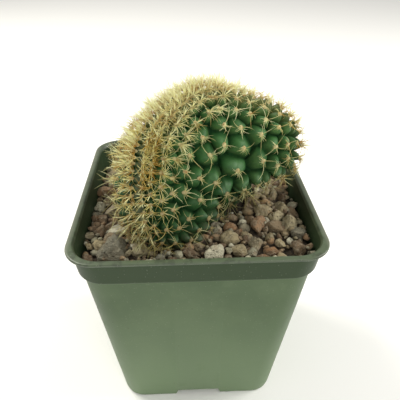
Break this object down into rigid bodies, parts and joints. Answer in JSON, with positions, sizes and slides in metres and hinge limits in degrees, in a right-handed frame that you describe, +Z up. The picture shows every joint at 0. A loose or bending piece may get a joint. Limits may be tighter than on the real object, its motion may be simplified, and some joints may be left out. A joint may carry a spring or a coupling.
{
  "type": "potted crested cactus",
  "caption": "Fan-shaped crested cactus with tubercled ribs and short curved spines, rooted in coarse mineral grit in a thin square nursery pot with round corners.",
  "frame": {"origin": "middle of the pot's foot, on the surface that it stands on", "axes": "+Z up out of the pot; the cactus's flatter side and its bent-over end look towards -Y; +X is to the right of a viewer who faces that side"},
  "size_m": [0.08, 0.08, 0.1201],
  "materials": {
    "pot": "satin",
    "grit": "matte",
    "crest": "satin"
  },
  "bodies": {
    "root": {"pot": "pot", "grit": "grit", "crest": "crest"}
  },
  "joints": []
}
